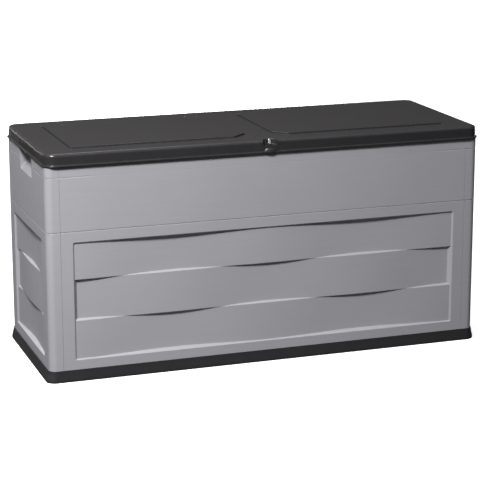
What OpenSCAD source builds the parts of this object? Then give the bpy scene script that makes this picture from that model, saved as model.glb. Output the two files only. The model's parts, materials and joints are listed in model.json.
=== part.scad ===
// Deck storage box: grey moulded walls with woven-look panels, standing in a
// dark plinth tray and closed by a dark lid on three rear hinges.
// Millimetres, +Z up, front of the box towards -Y.
// Origin: on the ground, at the middle of the plinth's footprint.

/* [Box] */
// Width of the walls, side to side
body_w = 1155; // [1080:5:1260]
// Depth of the walls, front to back
body_d = 432; // [420:2:460]
// Height of the walls' outer top edge above the ground
wall_top = 547.5; // [535:0.5:600]
// Thickness of the moulded walls
wall_t = 3; // [2.5:0.1:3.4]
// Outside radius of the upright corners
corner_r = 18; // [14:1:24]
// Width of the corner strip that each side panel turns onto the front and back
return_w = 35; // [32:1:40]
// Gap at the upright seams between neighbouring panels
seam_gap = 0.6; // [0.3:0.1:0.8]

/* [Rim and grooves] */
// How far the rim that carries the lid is set in from the walls' face
rim_inset = 6; // [5.5:0.5:6.5]
// Height of the rim above the walls' outer top edge
rim_h = 18.5; // [14:0.5:19]
// Height of the lower groove round the walls
lower_groove_z = 383.3; // [370:0.1:410]
// Height of the upper groove round the walls
upper_groove_z = 520; // [500:1:528]
// Width of the grooves
groove_w = 3; // [2:0.5:4]
// Depth of the grooves
groove_depth = 1.4; // [0.8:0.1:1.6]

/* [Woven panels] */
// Width of the woven recess in the front and back panels
front_weave_w = 1024; // [960:4:1028]
// Width of the woven recess in the side panels
side_weave_w = 315; // [280:5:320]
// Bottom edge of the woven recesses
weave_z0 = 55.5; // [50:0.5:60]
// Height of the lower band
band_h1 = 100.5; // [90:0.5:104]
// Height of the middle band
band_h2 = 105; // [95:0.5:108]
// Height of the upper band
band_h3 = 95; // [90:0.5:100]
// Length of one full wave along the front bands
front_wave = 512; // [480:4:520]
// Length of one full wave along the side bands
side_wave = 424; // [400:4:440]
// Average depth of the bands below the wall's face
weave_depth = 7; // [5:0.5:8]
// How far the bands swing in and out of their average depth
weave_swing = 3.5; // [2:0.5:4]

/* [Hand grips] */
// Width of each hand grip's mouth
grip_w = 130; // [110:2:140]
// Bottom edge of the hand grip's mouth
grip_z = 492; // [488:1:500]
// Depth of the hand grip
grip_depth = 24; // [18:1:25]
// Offset of the hand grip towards the back, negative towards the front
grip_y = -5; // [-10:1:10]
// Wall thickness of the hand grip insert
grip_t = 2.5; // [2:0.1:3]

/* [Plinth tray] */
// Width of the plinth at the ground
base_w = 1170; // [1100:5:1280]
// Depth of the plinth at the ground
base_d = 438; // [430:2:480]
// Height of the plinth
base_h = 31; // [31:1:34]
// Thickness of the webs under the floor
web_t = 3; // [2.5:0.5:4]
// Number of cells under the floor, side to side
cells_x = 12; // [12:2:16]
// Number of cells under the floor, front to back
cells_y = 4; // [4:2:6]

/* [Lid] */
// Height of the lid, lip to top surface
lid_h = 31.7; // [31:0.1:34]
// Gap between the walls' top edge and the lid's lip
lid_gap = 0.5; // [0.4:0.1:1]
// Width of the lid without its lip
lid_w = 1154; // [1152:1:1158]
// Depth of the lid without its lip
lid_d = 440; // [439:1:442]
// How far the lip stands out
lip_out = 4.5; // [3:0.5:6]
// Thickness of the lip
lip_h = 3.8; // [3:0.1:5]
// Thickness of the lid's skirt
skirt_t = 3; // [2.5:0.1:3.2]
// Thickness of the lid's top
top_t = 3; // [2.5:0.1:4]
// Radius of the lid's upright corners
lid_r = 26; // [20:1:30]
// Radius of the lid's top edge
lid_edge_r = 8; // [5:1:10]
// Height of the two raised pads on the lid
pad_h = 3; // [2:0.5:4]
// How far the pads reach to each side of the middle
pad_x = 498.5; // [480:0.5:520]
// Front edge of the pads
pad_y0 = -155.7; // [-165:0.1:-145]
// Rear edge of the pads
pad_y1 = 141; // [130:1:160]
// Half width of the channel between the pads
channel = 36; // [30:1:45]
// Width of the slanted corner where the channel opens to the front
channel_chamfer = 36.5; // [30:0.5:45]
// Depth of that slanted corner
channel_chamfer_y = 32.4; // [28:0.2:40]

/* [Lock] */
// Width of the lock insert in the lid's front edge
insert_w = 42; // [40:1:44]
// Radius of the insert's half-round pocket
pocket_r = 19.5; // [18:0.5:20]
// Depth of the pocket below the lid's top
pocket_h = 14.7; // [12:0.1:16]
// Thickness of the steel lock staple
staple_t = 6; // [4:0.5:7]
// Radius of the staple's rounded head
staple_r = 8; // [7:0.5:8.5]
// Radius of the padlock hole in the staple
eye_r = 3.5; // [3:0.25:4]

/* [Hinges] */
// Distance from the middle hinge to the outer ones
hinge_x = 380; // [340:5:440]
// Radius of the hinge knuckles
knuckle_r = 6.5; // [6:0.25:7]
// Radius of the hinge pins
pin_r = 2.5; // [2:0.25:3]
// Running clearance of the pins in their knuckles
pin_clear = 0.05; // [0.02:0.01:0.09]
// How far the lid opens before the leaves meet their stops
lid_open = 100; // [95:1:105]

/* [Hidden] */

$fn = 48;
grey = [0.66, 0.66, 0.68];
dark = [0.17, 0.17, 0.18];
hx = body_w/2;
hy = body_d/2;
rim_top = wall_top + rim_h;
wall_foot = 12;                       // walls stand this high in the tray
seam_x = hx - return_w;               // upright seams on the front and back
flange_t = 2.5;
flange_d = 12;                        // depth of the flanges behind the seams
strip_t = 2.2;
fit = 0.2;                            // gap between pieces that are fixed together
weave_z = [weave_z0, weave_z0 + band_h1, weave_z0 + band_h1 + band_h2,
           weave_z0 + band_h1 + band_h2 + band_h3];
weave_max = weave_depth + weave_swing;
screw_r = 2;
hole_r = 2.2;
joint_z = [100, 285, 470];            // heights of the joining screws

lid_z0 = wall_top + lid_gap;
lid_z1 = lid_z0 + lid_h;
lx = lid_w/2;
ly = lid_d/2;
pocket_z = lid_z1 - pocket_h;
collar_h = 5;
insert_back = ly - pocket_r - 2.5;
panel_z = rim_top + 0.6;              // underside of the lid's inner panel
panel_x = hx - 17.5;
panel_y0 = insert_back - 3;
panel_y1 = hy - 36;

hinge_y = ly + 4;                     // hinge axis
hinge_z = wall_top - 8.5;
hinge_half = 32;                      // half the length of a hinge
mid_half = 11.6;                      // half the length of the leaf's knuckle
leaf_t = 3;
bracket_z0 = hinge_z - 51;
bracket_z1 = hinge_z - 9;
leaf_z1 = lid_z1 - lid_edge_r - 0.2;
bracket_holes = [[-22, bracket_z0 + 9], [22, bracket_z0 + 9], [-22, bracket_z1 - 11], [22, bracket_z1 - 11]];
leaf_holes = [[-22, hinge_z + 16.5], [22, hinge_z + 16.5], [-22, leaf_z1 - 5], [22, leaf_z1 - 5]];

// ---------- shared shapes ----------

// Rectangle with round corners, true arcs
module rrect(w, d, r) {
    square([w - 2*r, d], center = true);
    square([w, d - 2*r], center = true);
    for (x = [-1, 1], y = [-1, 1]) translate([x*(w/2 - r), y*(d/2 - r)]) circle(r = r);
}

// Upright ring that follows the walls, set in by o, thickness t, from z0 to z1
module ring(o, t, z0, z1) {
    translate([0, 0, z0]) linear_extrude(z1 - z0) difference() {
        rrect(body_w - 2*o, body_d - 2*o, corner_r - o);
        rrect(body_w - 2*o - 2*t, body_d - 2*o - 2*t, max(corner_r - o - t, 1));
    }
}

module groove(z) {
    translate([0, 0, z - groove_w/2]) linear_extrude(groove_w) difference() {
        rrect(body_w + 4, body_d + 4, corner_r + 2);
        rrect(body_w - 2*groove_depth, body_d - 2*groove_depth, corner_r - groove_depth);
    }
}

// Depth of a band at x: s = 1 comes forward in the middle, s = -1 goes back there
function band_depth(x, wave, s) = weave_depth - s*weave_swing*cos(360*x/wave);

// Volume in front of (or inside) the three woven bands of a recess.
// Local frame: wall face at y = 0, inside of the box towards +Y.
// mid = -1 sets the middle band back at the centre of the panel, mid = 1 brings
// it forward there; the bands above and below always do the opposite.
// grow = 0 gives the cut; grow = wall_t gives the moulding that surrounds it.
module weave(w, wave, mid, grow, n) {
    g = grow*sqrt(2);
    far = weave_max + grow + 1;
    near = grow > 0 ? 0 : -1;
    h = weave_z[3] - weave_z[0];
    zc = weave_z[0] + h/2;
    intersection() {
        for (i = [0:2]) let (s = i == 1 ? mid : -mid)
            translate([0, 0, weave_z[i] - (grow > 0 ? (i == 0 ? g : grow) : (i == 0 ? 1 : 0))])
                linear_extrude(weave_z[i + 1] - weave_z[i]
                    + (grow > 0 ? (i == 1 ? 2*grow : g + grow) : (i == 1 ? 0 : 1)))
                    polygon(concat([[w/2 + g + 1, near], [-w/2 - g - 1, near]],
                        [for (k = [0:n]) let (x = -w/2 - g - 1 + (w + 2*g + 2)*k/n)
                            [x, band_depth(x, wave, s) + grow]]));
        translate([0, 0, weave_z[0] - 5]) linear_extrude(h + 10)
            polygon([[-w/2 - g - 1, -1], [w/2 + g + 1, -1], [w/2 + g - far, far], [-w/2 - g + far, far]]);
        translate([-w/2 - 10, 0, zc]) rotate([90, 0, 90]) linear_extrude(w + 20)
            polygon([[-1, -h/2 - g - 1], [far, -h/2 - g + far], [far, h/2 + g - far], [-1, h/2 + g + 1]]);
    }
}

module at_front() { translate([0, -hy, 0]) children(); }
module at_back() { rotate([0, 0, 180]) translate([0, -hy, 0]) children(); }
module at_left() { rotate([0, 0, -90]) translate([0, -hx, 0]) children(); }

// Wall, shoulder and rim all the way round; the panels are cut from it
module walls() {
    ring(0, wall_t, wall_foot, wall_top);
    ring(wall_t - 0.01, rim_inset, wall_top - 3, wall_top);
    ring(rim_inset, 3, wall_top - 3, rim_top);
}

module span(x0, x1, y0, y1) {
    translate([x0, y0, 0]) cube([x1 - x0, y1 - y0, 700]);
}

// Round hole or shank along Y, at x and z, from y0 to y1
module along_y(x, z, y0, y1, r) {
    translate([x, y0, z]) rotate([-90, 0, 0]) cylinder(r = r, h = y1 - y0);
}

module along_x(y, z, x0, x1, r) {
    translate([x0, y, z]) rotate([0, 90, 0]) cylinder(r = r, h = x1 - x0);
}

// Pan-head screw with its head's underside at the origin, shank along +Z
module screw(len, hr, hh) {
    cylinder(r = screw_r, h = len);
    translate([0, 0, -hh]) difference() {
        cylinder(r = hr, h = hh + 0.01);
        translate([0, 0, -0.01]) cylinder(r = 1.4, h = 1.2, $fn = 6);
    }
}

// ---------- walls ----------

// Flat panel between the corner strips, drawn at the front
module flat_panel() {
    difference() {
        union() {
            intersection() { walls(); span(-seam_x, seam_x, -hy - 1, -hy + 30); }
            at_front() weave(front_weave_w, front_wave, -1, wall_t, 48);
            for (s = [-1, 1]) translate([s > 0 ? seam_x - flange_t : -seam_x, -hy + wall_t - 0.01, base_h + 2])
                cube([flange_t, flange_d, wall_top - base_h - 5]);
            for (x = [-300, -110, 110, 300]) translate([x - 1.25, -hy + wall_t - 0.01, weave_z[3] + 8])
                cube([2.5, 8, wall_top - weave_z[3] - 10]);
        }
        at_front() weave(front_weave_w, front_wave, -1, 0, 48);
        groove(lower_groove_z);
        groove(upper_groove_z);
        for (s = [-1, 1], z = joint_z)
            along_x(-hy + wall_t + 7.5, z, s*seam_x - 4, s*seam_x + 4, hole_r);
    }
}

module front_panel() {
    color(grey) difference() {
        union() {
            flat_panel();
            for (x = [-13, 13]) along_y(x, wall_top - 31, -hy + wall_t - 0.01, -hy + 12, 5);
        }
        // room for the lock insert and the staple in the rim and shoulder
        translate([-insert_w/2 - 3, -hy + 0.8, wall_top]) cube([insert_w + 6, 20, 40]);
        translate([-staple_t/2 - 0.4, -hy + wall_t, wall_top - 10]) cube([staple_t + 0.8, 20, 20]);
        for (x = [-13, 13]) along_y(x, wall_top - 31, -hy + 2, -hy + 13, hole_r);
    }
}

module back_panel() {
    color(grey) difference() {
        union() {
            rotate([0, 0, 180]) flat_panel();
            for (x = [-hinge_x, 0, hinge_x])
                translate([x - 34, hy - wall_t - 8, bracket_z0 - 2]) cube([68, 8.01, bracket_z1 - bracket_z0 + 4]);
        }
        for (x = [-hinge_x, 0, hinge_x], h = bracket_holes) along_y(x + h[0], h[1], hy - 10, hy + 1, hole_r);
    }
}

// Profile of the hand grip's mouth in the XZ plane, for the left side, grown by g
module grip_profile(g, out) {
    polygon([[-hx - out, grip_z - out - g*sqrt(2)],
             [-hx + grip_depth + g, grip_z + grip_depth + g - g*sqrt(2)],
             [-hx + grip_depth + g, wall_top - grip_t + g],
             [-hx - out, wall_top - grip_t + g]]);
}

module along_grip(y0, y1) { translate([0, y1, 0]) rotate([90, 0, 0]) linear_extrude(y1 - y0) children(); }

// Side moulding, drawn at the left; gy is the grip's offset along Y
module side_panel(gy) {
    color(grey) difference() {
        union() {
            intersection() { walls(); span(-hx - 1, -seam_x - seam_gap, -hy - 1, hy + 1); }
            at_left() weave(side_weave_w, side_wave, 1, wall_t, 24);
            for (s = [-1, 1]) translate([-seam_x - seam_gap - flange_t, s > 0 ? hy - wall_t - flange_d + 0.01 : -hy + wall_t - 0.01, base_h + 2])
                cube([flange_t, flange_d, wall_top - base_h - 5]);
        }
        at_left() weave(side_weave_w, side_wave, 1, 0, 24);
        groove(lower_groove_z);
        groove(upper_groove_z);
        for (s = [-1, 1], z = joint_z)
            along_x(s*(hy - wall_t - 7.5), z, -seam_x - 8, -seam_x + 1, hole_r);
        along_grip(gy - grip_w/2 - grip_t - 0.1, gy + grip_w/2 + grip_t + 0.1) grip_profile(grip_t + 0.1, 2);
    }
}

module left_side_panel() { side_panel(grip_y); }
module right_side_panel() { rotate([0, 0, 180]) side_panel(-grip_y); }

module hand_grip() {
    color(grey) difference() {
        intersection() {
            along_grip(grip_y - grip_w/2 - grip_t, grip_y + grip_w/2 + grip_t) grip_profile(grip_t, 5);
            span(-hx, 0, -hy, hy);
        }
        along_grip(grip_y - grip_w/2, grip_y + grip_w/2) grip_profile(0, 2);
    }
}

module left_hand_grip() { hand_grip(); }
module right_hand_grip() { mirror([1, 0, 0]) hand_grip(); }

// U-shaped strip pushed over the two flanges behind a seam, drawn front right
module joining_strip() {
    x0 = seam_x - flange_t - fit - strip_t;
    x1 = seam_x + seam_gap + flange_t + fit + strip_t;
    y0 = -hy + wall_t + 0.5;
    y1 = -hy + wall_t + flange_d + fit + strip_t;
    z0 = base_h + 3;
    z1 = wall_top - 6;
    color(grey) difference() {
        translate([x0, y0, z0]) cube([x1 - x0, y1 - y0, z1 - z0]);
        translate([x0 + strip_t, y0 - 1, z0 - 1]) cube([x1 - x0 - 2*strip_t, y1 - y0 - strip_t + 1, z1 - z0 + 2]);
        for (z = joint_z) along_x(-hy + wall_t + 7.5, z, x0 - 1, x1 + 1, hole_r);
    }
}

module front_right_joining_strip() { joining_strip(); }
module front_left_joining_strip() { mirror([1, 0, 0]) joining_strip(); }
module back_right_joining_strip() { mirror([0, 1, 0]) joining_strip(); }
module back_left_joining_strip() { mirror([1, 0, 0]) mirror([0, 1, 0]) joining_strip(); }

module joining_screws() {
    color("silver") for (a = [0, 1], b = [0, 1], z = joint_z)
        mirror([a, 0, 0]) mirror([0, b, 0])
            translate([seam_x - flange_t - fit - strip_t - 0.05, -hy + wall_t + 7.5, z])
                rotate([0, 90, 0]) screw(12, 3.6, 1.5);
}

// ---------- plinth ----------

module base_tray() {
    iw = body_w - 2*wall_t - 1;
    id = body_d - 2*wall_t - 1;
    cw = (iw - 14)/cells_x;
    cd = (id - 14)/cells_y;
    color(dark) difference() {
        hull() {
            linear_extrude(7) rrect(base_w, base_d, corner_r + 5, $fn = 32);
            translate([0, 0, base_h - 0.5]) linear_extrude(0.5) rrect(body_w + 5, body_d + 4, corner_r + 2, $fn = 32);
        }
        // channel that the walls stand in
        translate([0, 0, wall_foot]) linear_extrude(base_h) difference() {
            rrect(body_w + 0.6, body_d + 0.6, corner_r + 0.3);
            rrect(iw, id, corner_r - wall_t - 0.5);
        }
        // floor surface, just under the rim of the tray, with drip ribs left standing
        translate([0, 0, base_h - 2]) difference() {
            linear_extrude(3) rrect(iw - 16, id - 16, 10);
            for (i = [-5:5]) translate([i*cw - 6, -id/2 + 20, -1]) cube([12, id - 40, 4]);
        }
        // cells under the floor
        for (i = [0:cells_x - 1], j = [0:cells_y - 1])
            translate([-iw/2 + 7 + i*cw + web_t/2, -id/2 + 7 + j*cd + web_t/2, -1])
                cube([cw - web_t, cd - web_t, base_h - 5 + 1]);
    }
}

// ---------- lid ----------

module lid_outer() {
    hull() for (s = [0, 30, 60, 90]) let (c = lid_edge_r*(1 - cos(s)))
        translate([0, 0, s == 0 ? lid_z0 : lid_z1 - lid_edge_r])
            linear_extrude(s == 0 ? lid_h - lid_edge_r : lid_edge_r*sin(s))
                rrect(lid_w - 2*c, lid_d - 2*c, lid_r - c, $fn = 32);
}

module lid_shell() {
    color(dark) difference() {
        union() {
            difference() {
                union() {
                    lid_outer();
                    translate([0, 0, lid_z0]) linear_extrude(lip_h) rrect(lid_w + 2*lip_out, lid_d + 2*lip_out, lid_r + lip_out);
                    for (s = [0, 1]) mirror([s, 0, 0]) translate([0, 0, lid_z1 - 0.5]) linear_extrude(pad_h + 0.5)
                        polygon([[-pad_x, pad_y0], [-channel - channel_chamfer, pad_y0],
                                 [-channel, pad_y0 + channel_chamfer_y], [-channel, pad_y1], [-pad_x, pad_y1]]);
                }
                translate([0, 0, lid_z0 - 1]) linear_extrude(lid_h - top_t + 1)
                    rrect(lid_w - 2*skirt_t, lid_d - 2*skirt_t, lid_r - skirt_t);
            }
            for (x = [-hinge_x, 0, hinge_x])
                translate([x - 33, ly - skirt_t - 5.5, lid_z0 + 5]) cube([66, 6, lid_h - 6]);
        }
        insert_cut();
        for (x = [-hinge_x, 0, hinge_x]) {
            translate([x - hinge_half - 2, ly, lid_z0 - 1]) cube([2*hinge_half + 4, 10, lip_h + 2]);
            for (h = leaf_holes) along_y(x + h[0], h[1], ly - skirt_t - 4.5, ly + 1, hole_r);
        }
    }
}

// Opening in the lid's front edge that the lock insert fills
module insert_cut() {
    translate([-insert_w/2 - 0.15, -ly - 20, lid_z0 - 5])
        cube([insert_w + 0.3, 20 + ly - insert_back + 0.15, 60]);
}

module lid_inner_panel() {
    color(dark) {
        difference() {
            translate([-panel_x, -panel_y0, panel_z]) cube([2*panel_x, panel_y0 + panel_y1, lid_z1 - top_t - fit - panel_z]);
            for (i = [0:11], j = [0:3]) let (cw = 2*panel_x/12, cd = (panel_y0 + panel_y1)/4)
                translate([-panel_x + i*cw + 1, -panel_y0 + j*cd + 1, panel_z + 2]) cube([cw - 2, cd - 2, 30]);
        }
    }
}

module lock_insert() {
    color(dark) difference() {
        union() {
            intersection() {
                translate([-insert_w/2, -ly, lid_z0]) cube([insert_w, ly - insert_back, lid_h - 0.2]);
                lid_outer();
            }
            // lip across the insert, and the pull tab bulging out of it
            translate([-insert_w/2, -ly - lip_out, lid_z0]) cube([insert_w, lip_out + 0.01, lip_h]);
            intersection() {
                translate([0, -hy + 17, lid_z0 - 3.5]) cylinder(r = 30, h = 9);
                translate([-insert_w/2, -hy - 20, lid_z0 - 10]) cube([insert_w, 20 - 1.3, 40]);
            }
        }
        // half-round pocket
        difference() {
            translate([0, -ly, pocket_z]) cylinder(r = pocket_r, h = 40);
            translate([-staple_t/2 - 3, -ly, pocket_z - 1]) cube([staple_t + 6, 2*staple_r + 6, collar_h + 1]);
        }
        // hollow underside
        translate([-insert_w/2 + 2.2, -hy - 0.5, lid_z0 - 10]) cube([insert_w - 4.4, hy + 0.5 - insert_back - 2.2, 10 + lid_h - pocket_h - 2.5]);
        // slot for the staple
        translate([-staple_t/2 - 1, -hy - 2.4, lid_z0 - 10]) cube([staple_t + 2, 2*staple_r + 3.4, 40]);
    }
}

// ---------- lock staple ----------

module lock_staple() {
    yc = -hy + 7;
    zc = lid_z1 + pad_h - 0.7 - staple_r;
    color("silver") difference() {
        union() {
            translate([-staple_t/2, 0, 0]) {
                along_x(yc, zc, 0, staple_t, staple_r);
                translate([0, yc - staple_r, wall_top + 1.5]) cube([staple_t, 2*staple_r, zc - wall_top - 1.5]);
                translate([0, -hy + wall_t + 0.5, wall_top - 45]) cube([staple_t, yc + staple_r + hy - wall_t - 0.5, 60]);
            }
            translate([-20, -hy + 12.05, wall_top - 45]) cube([40, 2.95, 32]);
        }
        along_x(yc, zc, -staple_t, staple_t, eye_r);
        for (x = [-13, 13]) along_y(x, wall_top - 31, -hy + 10, -hy + 20, hole_r);
    }
}

module staple_screws() {
    color("silver") for (x = [-13, 13]) translate([x, -hy + 15.05, wall_top - 31]) rotate([90, 0, 0]) screw(11, 3.6, 1.6);
}

// ---------- hinges ----------

module knuckle(x0, x1) {
    along_x(hinge_y, hinge_z, x0, x1, knuckle_r);
}

module hinge_bore() {
    along_x(hinge_y, hinge_z, -hinge_half - 1, hinge_half + 1, pin_r + pin_clear);
}

// Point of the open leaf's outer face, d from the hinge axis, lowered by g
function stop_pt(d, g) = let (a = lid_open, fy = ly + leaf_t + 0.1 - hinge_y)
    [fy*cos(a) + d*sin(a), -fy*sin(a) + d*cos(a) - g];

module hinge_bracket() {
    color(dark) difference() {
        union() {
            translate([-hinge_half, hy + 0.05, bracket_z0]) cube([2*hinge_half, 2.95, bracket_z1 - bracket_z0]);
            for (s = [-1, 1]) mirror([s > 0 ? 1 : 0, 0, 0]) {
                knuckle(-hinge_half, -mid_half - 0.4);
                // arm from the plate up to the knuckle
                translate([-hinge_half, hy + 0.05, bracket_z1 - 6]) cube([hinge_half - mid_half - 0.4, 4.95, hinge_z - bracket_z1 + 6]);
                // stop that the leaf meets when the lid is open
                translate([-hinge_half, hinge_y, hinge_z]) rotate([90, 0, 90]) linear_extrude(hinge_half - mid_half - 0.4)
                    polygon([[-5, -9], [6, -9], [10, -6], stop_pt(10.3, 0.35), stop_pt(5.5, 0.35), [0, 0], [-5, 0]]);
            }
        }
        hinge_bore();
        for (h = bracket_holes) along_y(h[0], h[1], hy - 1, hy + 5, hole_r);
    }
}

module hinge_leaf() {
    color(dark) difference() {
        union() {
            knuckle(-mid_half, mid_half);
            translate([-mid_half, ly + 0.1, hinge_z]) cube([2*mid_half, leaf_t, 14]);
            translate([-30, ly + 0.1, hinge_z + 8]) cube([60, leaf_t, leaf_z1 - hinge_z - 8]);
        }
        hinge_bore();
        for (h = leaf_holes) along_y(h[0], h[1], ly - 1, ly + 5, hole_r);
    }
}

module hinge_pin() {
    color("silver") along_x(hinge_y, hinge_z, -hinge_half - 0.8, hinge_half + 0.8, pin_r);
}

module at_hinge(i) { translate([i*hinge_x, 0, 0]) children(); }

module hinge_bracket_left() { at_hinge(-1) hinge_bracket(); }
module hinge_bracket_middle() { at_hinge(0) hinge_bracket(); }
module hinge_bracket_right() { at_hinge(1) hinge_bracket(); }
module hinge_leaf_left() { at_hinge(-1) hinge_leaf(); }
module hinge_leaf_middle() { at_hinge(0) hinge_leaf(); }
module hinge_leaf_right() { at_hinge(1) hinge_leaf(); }
module hinge_pin_left() { at_hinge(-1) hinge_pin(); }
module hinge_pin_middle() { at_hinge(0) hinge_pin(); }
module hinge_pin_right() { at_hinge(1) hinge_pin(); }

module bracket_screws() {
    color("silver") for (i = [-1:1], h = bracket_holes)
        translate([i*hinge_x + h[0], hy + 3.05, h[1]]) rotate([90, 0, 0]) screw(11, 3.8, 1.8);
}

module leaf_screws() {
    color("silver") for (i = [-1:1], h = leaf_holes)
        translate([i*hinge_x + h[0], ly + leaf_t + 0.15, h[1]]) rotate([90, 0, 0]) screw(9.5, 3.8, 1.6);
}

base_tray();
front_panel();
back_panel();
left_side_panel();
right_side_panel();
front_left_joining_strip();
front_right_joining_strip();
back_left_joining_strip();
back_right_joining_strip();
joining_screws();
left_hand_grip();
right_hand_grip();
lock_staple();
staple_screws();
hinge_bracket_left();
hinge_bracket_middle();
hinge_bracket_right();
bracket_screws();
hinge_pin_left();
hinge_pin_middle();
hinge_pin_right();
lid_shell();
lid_inner_panel();
lock_insert();
hinge_leaf_left();
hinge_leaf_middle();
hinge_leaf_right();
leaf_screws();
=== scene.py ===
import bpy, bmesh, json, math
import numpy as np
from mathutils import Vector, Matrix
from mathutils.geometry import delaunay_2d_cdt


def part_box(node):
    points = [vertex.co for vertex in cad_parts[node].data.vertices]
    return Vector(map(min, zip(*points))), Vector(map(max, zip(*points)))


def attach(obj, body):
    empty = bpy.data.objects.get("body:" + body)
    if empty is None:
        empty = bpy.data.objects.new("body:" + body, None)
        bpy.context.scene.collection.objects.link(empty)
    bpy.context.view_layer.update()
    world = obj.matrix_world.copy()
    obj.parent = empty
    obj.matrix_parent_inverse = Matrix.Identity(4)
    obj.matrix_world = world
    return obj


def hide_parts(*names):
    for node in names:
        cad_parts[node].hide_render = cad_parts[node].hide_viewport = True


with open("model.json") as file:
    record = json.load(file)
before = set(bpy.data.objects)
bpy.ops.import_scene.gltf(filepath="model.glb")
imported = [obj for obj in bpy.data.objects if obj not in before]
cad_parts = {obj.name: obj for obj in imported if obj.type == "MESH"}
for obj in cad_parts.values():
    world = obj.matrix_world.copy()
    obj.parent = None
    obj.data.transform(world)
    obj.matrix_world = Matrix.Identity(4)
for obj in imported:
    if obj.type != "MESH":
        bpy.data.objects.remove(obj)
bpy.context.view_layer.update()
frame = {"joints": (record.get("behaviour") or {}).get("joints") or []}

# ------------------------------------------------------------------ sizes, mm
MM = 0.001
b_tray = [v / MM for v in (*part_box("base_tray")[0], *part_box("base_tray")[1])]
b_left = [v / MM for v in (*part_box("left_side_panel")[0], *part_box("left_side_panel")[1])]
b_front = [v / MM for v in (*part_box("front_panel")[0], *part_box("front_panel")[1])]
b_shell = [v / MM for v in (*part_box("lid_shell")[0], *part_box("lid_shell")[1])]
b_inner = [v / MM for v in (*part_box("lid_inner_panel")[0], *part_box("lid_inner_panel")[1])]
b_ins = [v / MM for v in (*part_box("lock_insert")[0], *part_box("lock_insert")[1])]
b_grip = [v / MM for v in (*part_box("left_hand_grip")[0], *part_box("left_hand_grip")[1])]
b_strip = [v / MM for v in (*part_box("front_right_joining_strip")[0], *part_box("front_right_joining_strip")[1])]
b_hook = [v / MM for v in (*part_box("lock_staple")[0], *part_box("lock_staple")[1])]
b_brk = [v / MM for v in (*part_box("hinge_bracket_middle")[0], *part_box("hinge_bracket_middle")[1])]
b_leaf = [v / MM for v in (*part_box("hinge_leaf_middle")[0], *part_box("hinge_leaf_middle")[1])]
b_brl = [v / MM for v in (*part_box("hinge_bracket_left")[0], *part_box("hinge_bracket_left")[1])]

HX, HY = -b_left[0], -b_front[1]                  # half width and depth of the walls
SEAM = b_front[3]                                 # upright seams
FOOT = b_front[2]
RIM = b_left[5]                                   # top of the rim
WALL_T, RIM_IN = 3.0, 6.0
CORNER = 18.0
TRAY_X, TRAY_Y, TRAY_H = b_tray[3], b_tray[4], b_tray[5]
LIP_X, LIP_Y = b_shell[3], b_shell[4]
LIP_OUT = 4.5
LX, LY = LIP_X - LIP_OUT, LIP_Y - LIP_OUT
LZ0 = b_shell[2]
PAD_H = 3.0
LZ1 = b_shell[5] - PAD_H
WALL_TOP = LZ0 - 0.5
LID_R, EDGE_R = 26.0, 8.0
GROOVES = ((383.3, 1.5), (520.0, 0.9))
WEAVE_Z = (55.5, 156.0, 261.0, 356.0)
JOINT = frame["joints"][0]
AX_Y, AX_Z = JOINT["pos_m"][1] / MM, JOINT["pos_m"][2] / MM


# ------------------------------------------------------------------ mesh tools
class Builder:
    """Collects vertices and faces in millimetres for one piece."""

    def __init__(self):
        self.v, self.f, self.n = [], [], 0

    def add(self, pts, faces, flip=False):
        pts = np.asarray(pts, float).reshape(-1, 3)
        base = self.n
        self.v.append(pts)
        self.n += len(pts)
        for q in faces:
            q = [base + int(k) for k in q]
            self.f.append(q[::-1] if flip else q)
        return base

    def obj(self, name, angle=32.0, weld=0.01, sharp=True, weighted=True):
        me = bpy.data.meshes.new(name)
        me.from_pydata((np.concatenate(self.v) * MM).tolist(), [], self.f)
        bm = bmesh.new()
        bm.from_mesh(me)
        if weld:
            bmesh.ops.remove_doubles(bm, verts=bm.verts, dist=weld * MM)
        loose = [v for v in bm.verts if not v.link_faces]
        if loose:
            bmesh.ops.delete(bm, geom=loose, context="VERTS")
        bm.to_mesh(me)
        bm.free()
        me.validate()
        ob = bpy.data.objects.new(name, me)
        bpy.context.scene.collection.objects.link(ob)
        finish_shading(ob, angle, weighted)
        return ob


def finish_shading(ob, angle=32.0, weighted=True):
    me = ob.data
    me.shade_smooth()
    me.set_sharp_from_angle(angle=math.radians(angle))
    if weighted:
        m = ob.modifiers.new("normals", "WEIGHTED_NORMAL")
        m.mode = "FACE_AREA"
        m.weight = 50
        m.keep_sharp = True


def grid_faces(ni, nj, close_j=False, flip=False):
    """Quads of an ni by nj grid of points, row by row."""
    out = []
    for i in range(ni - 1):
        for j in range(nj if close_j else nj - 1):
            k = (j + 1) % nj
            q = (i * nj + j, i * nj + k, (i + 1) * nj + k, (i + 1) * nj + j)
            out.append(q[::-1] if flip else q)
    return out


def round_poly(corners, radii, n=8):
    """Counter-clockwise polygon with rounded corners: points and outward offset directions."""
    pts, nrm = [], []
    m = len(corners)
    for i in range(m):
        p0, p1, p2 = (np.array(corners[(i + k - 1) % m], float) for k in range(3))
        d0, d1 = (p1 - p0) / np.linalg.norm(p1 - p0), (p2 - p1) / np.linalg.norm(p2 - p1)
        n0, n1 = np.array([d0[1], -d0[0]]), np.array([d1[1], -d1[0]])
        cross = d0[0] * d1[1] - d0[1] * d1[0]
        r = radii[i] if hasattr(radii, "__len__") else radii
        if r <= 0 or abs(cross) < 1e-6:
            pts.append(p1)
            nrm.append((n0 + n1) / (1 + n0 @ n1))
            continue
        turn = math.atan2(abs(cross), d0 @ d1)
        t = r * math.tan(turn / 2)
        s = 1 if cross > 0 else -1
        c = p1 - d0 * t - n0 * r * s
        a0 = math.atan2(*(n0 * s)[::-1])
        for k in range(n + 1):
            a = a0 + s * turn * k / n
            u = np.array([math.cos(a), math.sin(a)])
            pts.append(c + u * r)
            nrm.append(u * s)
    return np.array(pts), np.array(nrm)


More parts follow.
